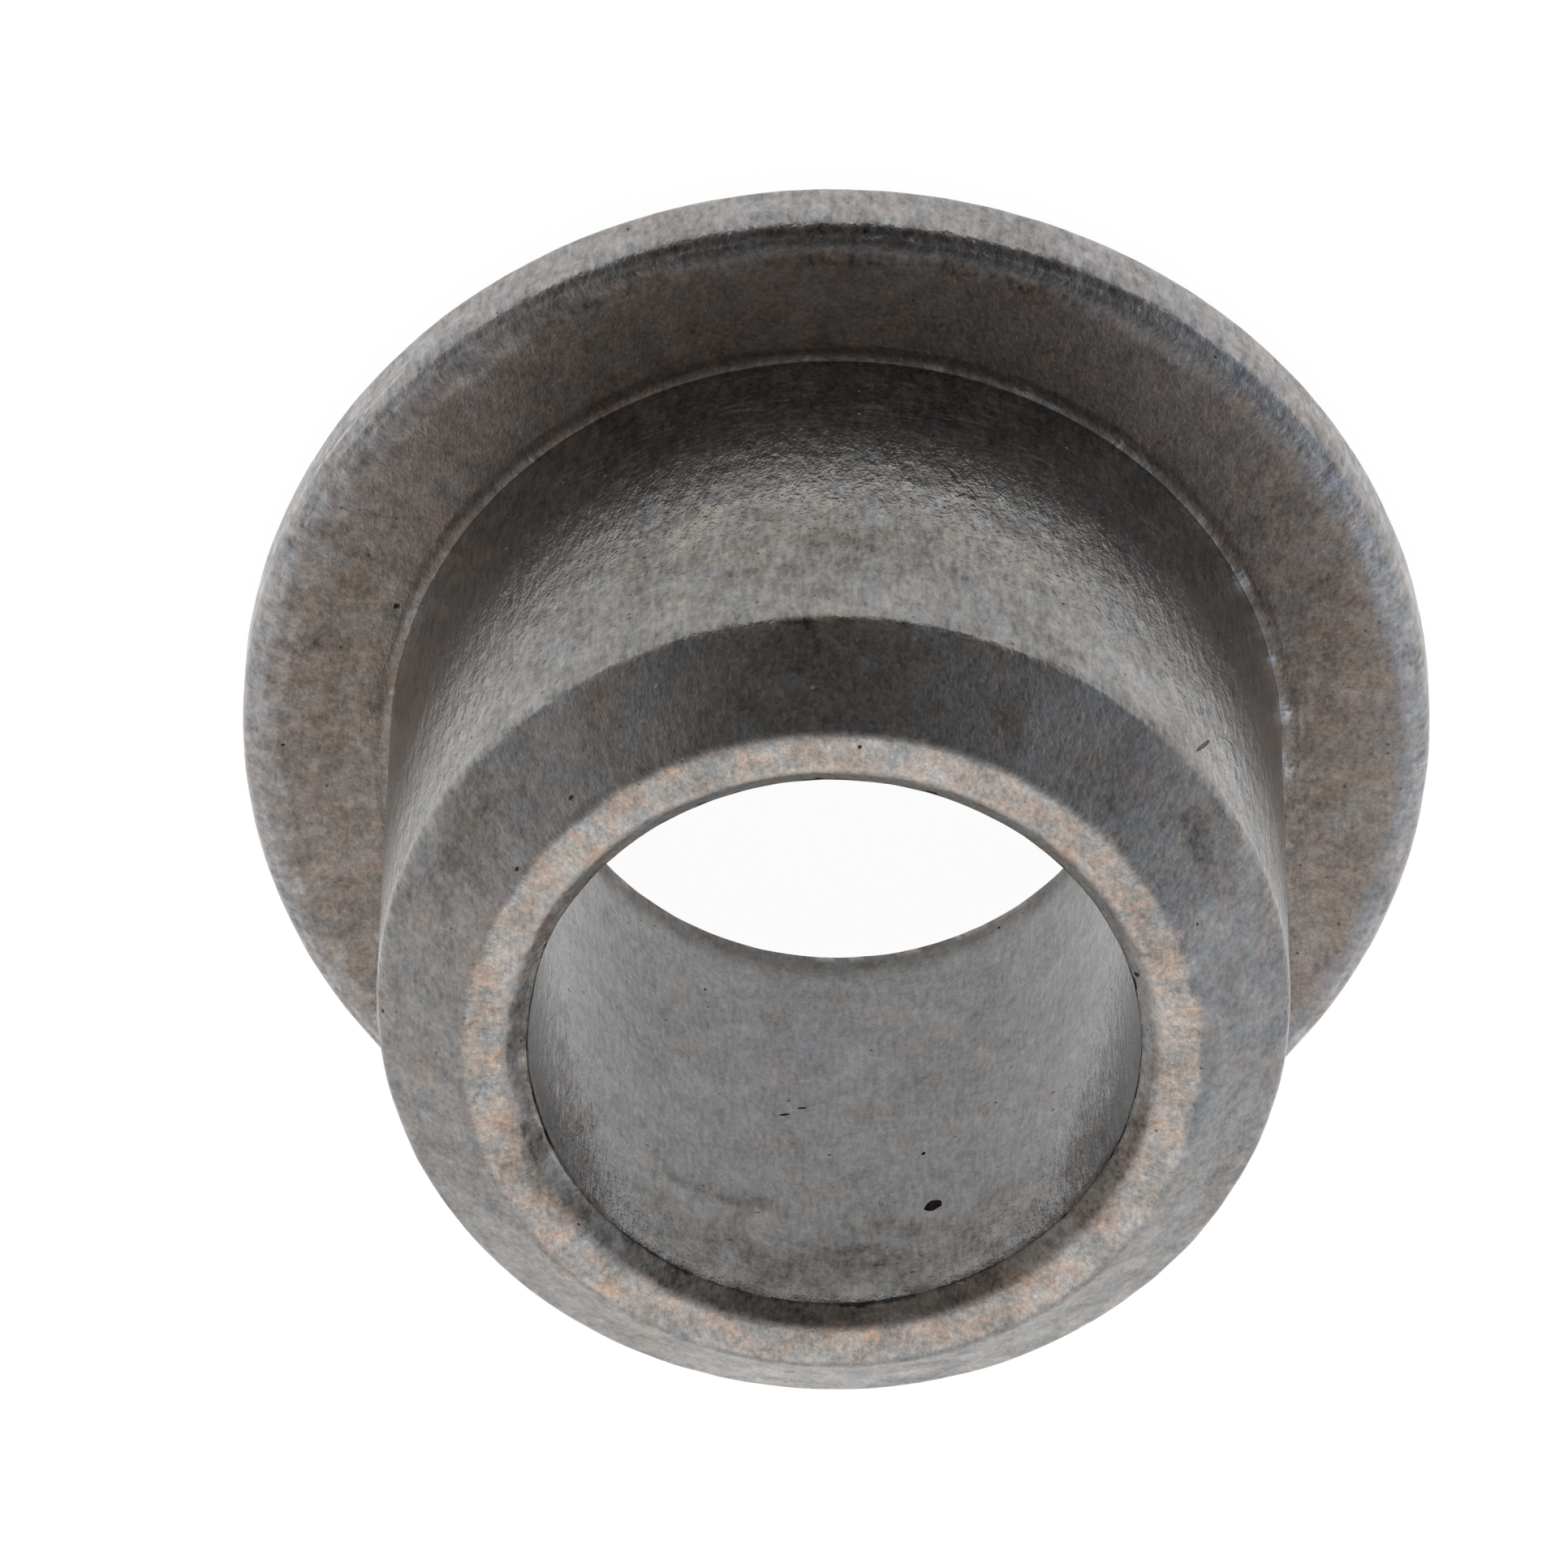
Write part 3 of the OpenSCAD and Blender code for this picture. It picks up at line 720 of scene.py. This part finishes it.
def floor_material():
    """Matt white studio board. It shows white, with a trace of the object's soft shadow."""
    board = bpy.data.materials.new("matt_white_board")
    board.use_nodes = True
    tree = board.node_tree
    tree.nodes.clear()
    rays = add(tree, "ShaderNodeLightPath", out=None).outputs
    seen = add(tree, "ShaderNodeMath", {0: rays["Is Camera Ray"], 1: rays["Is Glossy Ray"]}, operation="MAXIMUM")
    seen = add(tree, "ShaderNodeMath", {0: seen, 1: rays["Is Transmission Ray"]}, operation="MAXIMUM")
    matt = add(tree, "ShaderNodeBsdfDiffuse", {"Color": (0.8, 0.8, 0.8, 1)})
    dim = add(tree, "ShaderNodeBsdfDiffuse", {"Color": (0.08, 0.08, 0.08, 1)})
    glow = add(tree, "ShaderNodeEmission", {"Color": (1, 1, 1, 1), "Strength": 0.955})
    white = add(tree, "ShaderNodeAddShader", {0: dim, 1: glow})
    both = add(tree, "ShaderNodeMixShader", {0: seen, 1: matt, 2: white})
    add(tree, "ShaderNodeOutputMaterial", {"Surface": both}, out=None)
    return board


def studio_world():
    """A white studio whose camera side is unlit: white behind the object, a soft fall-off in what metal mirrors."""
    world = bpy.data.worlds.new("white_studio")
    world.use_nodes = True
    tree = world.node_tree
    tree.nodes.clear()
    way = add(tree, "ShaderNodeTexCoord", out="Generated")
    way = add(tree, "ShaderNodeVectorMath", {0: way}, operation="NORMALIZE")
    toward = add(tree, "ShaderNodeVectorMath", {0: way, 1: Vector(DARK_SIDE).normalized()}, out="Value",
                 operation="DOT_PRODUCT")
    fall_off = add(tree, "ShaderNodeValToRGB", {0: toward})
    stops = fall_off.node.color_ramp.elements
    stops[0].position, stops[0].color = 0.0, (0.97, 0.98, 1.0, 1)
    stops[1].position, stops[1].color = 0.97, (0.03, 0.03, 0.03, 1)
    for position, level in ((0.30, 0.56), (0.60, 0.36), (0.80, 0.16)):
        stop = stops.new(position)
        stop.color = (level, level, level * 1.02, 1)
    # The side towards -X is lit a little cooler.
    side = add(tree, "ShaderNodeSeparateXYZ", {0: way}, out="X")
    cool = add(tree, "ShaderNodeMapRange", {0: side, 1: 0.0, 2: -0.9})
    lit = add(tree, "ShaderNodeMix", {0: cool, 6: fall_off, 7: (0.86, 0.95, 1.07, 1)}, out=2, data_type="RGBA",
              blend_type="MULTIPLY")
    rays = add(tree, "ShaderNodeLightPath", out=None).outputs
    mirrored = add(tree, "ShaderNodeBackground", {"Color": lit, "Strength": 1.0})
    plain = add(tree, "ShaderNodeBackground", {"Color": (0.9, 0.9, 0.9, 1), "Strength": 0.8})
    white = add(tree, "ShaderNodeBackground", {"Color": (1, 1, 1, 1), "Strength": 1.0})
    light = add(tree, "ShaderNodeMixShader", {0: rays["Is Glossy Ray"], 1: plain, 2: mirrored})
    seen = add(tree, "ShaderNodeMath", {0: rays["Is Camera Ray"], 1: rays["Is Transmission Ray"]},
               operation="MAXIMUM")
    both = add(tree, "ShaderNodeMixShader", {0: seen, 1: light, 2: white})
    add(tree, "ShaderNodeOutputWorld", {"Surface": both}, out=None)
    return world


class BUSHING_OT_build_stage(bpy.types.Operator):
    """Lays the white floor, lights it softly and sets up the camera"""

    bl_idname = "bushing.build_stage"
    bl_label = "Build Stage"

    def execute(self, context):
        scene, setup = context.scene, context.scene.bushing_studio
        half = setup.floor_size / 2
        mesh = bpy.data.meshes.new("studio_floor")
        mesh.from_pydata(
            [(-half, -half, 0), (half, -half, 0), (half, half, 0), (-half, half, 0)], [], [(0, 1, 2, 3)])
        mesh.materials.append(floor_material())
        floor = bpy.data.objects.new("studio_floor", mesh)
        scene.collection.objects.link(floor)

        for name, place, side, watts in (
                ("rear_softbox", (0.05, 0.32, 0.40), 0.30, 0.20), ("side_softbox", (-0.42, 0.10, 0.30), 0.26, 0.09)):
            lamp = bpy.data.lights.new(name, "AREA")
            lamp.shape, lamp.size, lamp.energy = "SQUARE", side, watts
            box = bpy.data.objects.new(name, lamp)
            box.location = place
            box.rotation_euler = (-Vector(place)).to_track_quat("-Z", "Y").to_euler()
            scene.collection.objects.link(box)

        scene.world = studio_world()
        lens = bpy.data.cameras.new("studio_camera")
        lens.sensor_width, lens.lens = 36, setup.lens
        lens.clip_start, lens.clip_end = 0.01, 20
        camera = bpy.data.objects.new("studio_camera", lens)
        back = -Vector(setup.camera_aim).normalized()
        right = Vector(setup.camera_up).cross(back).normalized()
        camera.matrix_world = Matrix.Translation(setup.camera_place) @ Matrix(
            (right, back.cross(right), back)).transposed().to_4x4()
        scene.collection.objects.link(camera)
        scene.camera = camera
        scene.view_settings.view_transform = "Standard"
        return {"FINISHED"}


class BUSHING_PT_panel(bpy.types.Panel):
    """Lists the sizes, colours and steps of the bushing"""

    bl_idname = "BUSHING_PT_panel"
    bl_label = "Sintered Flange Bushing"
    bl_space_type = "VIEW_3D"
    bl_region_type = "UI"
    bl_category = "Bushing"

    def draw(self, context):
        for group in (context.scene.bushing_sizes, context.scene.bushing_surface, context.scene.bushing_colours,
                      context.scene.bushing_studio):
            box = self.layout.box()
            for name in group.__annotations__:
                box.prop(group, name)
        self.layout.operator("bushing.build_pressing")
        self.layout.operator("bushing.build_stage")


GROUPS = {"bushing_sizes": BushingSizes, "bushing_surface": BushingSurface, "bushing_colours": BushingColours,
          "bushing_studio": StudioSetup}
CLASSES = (*GROUPS.values(), BUSHING_OT_build_pressing, BUSHING_OT_build_stage, BUSHING_PT_panel)


def register():
    for cls in CLASSES:
        bpy.utils.register_class(cls)
    for name, group in GROUPS.items():
        setattr(bpy.types.Scene, name, bpy.props.PointerProperty(type=group))


def unregister():
    for name in GROUPS:
        delattr(bpy.types.Scene, name)
    for cls in reversed(CLASSES):
        bpy.utils.unregister_class(cls)


def main():
    register()
    bpy.ops.bushing.build_pressing()
    bpy.ops.bushing.build_stage()


if __name__ == "__main__":
    main()
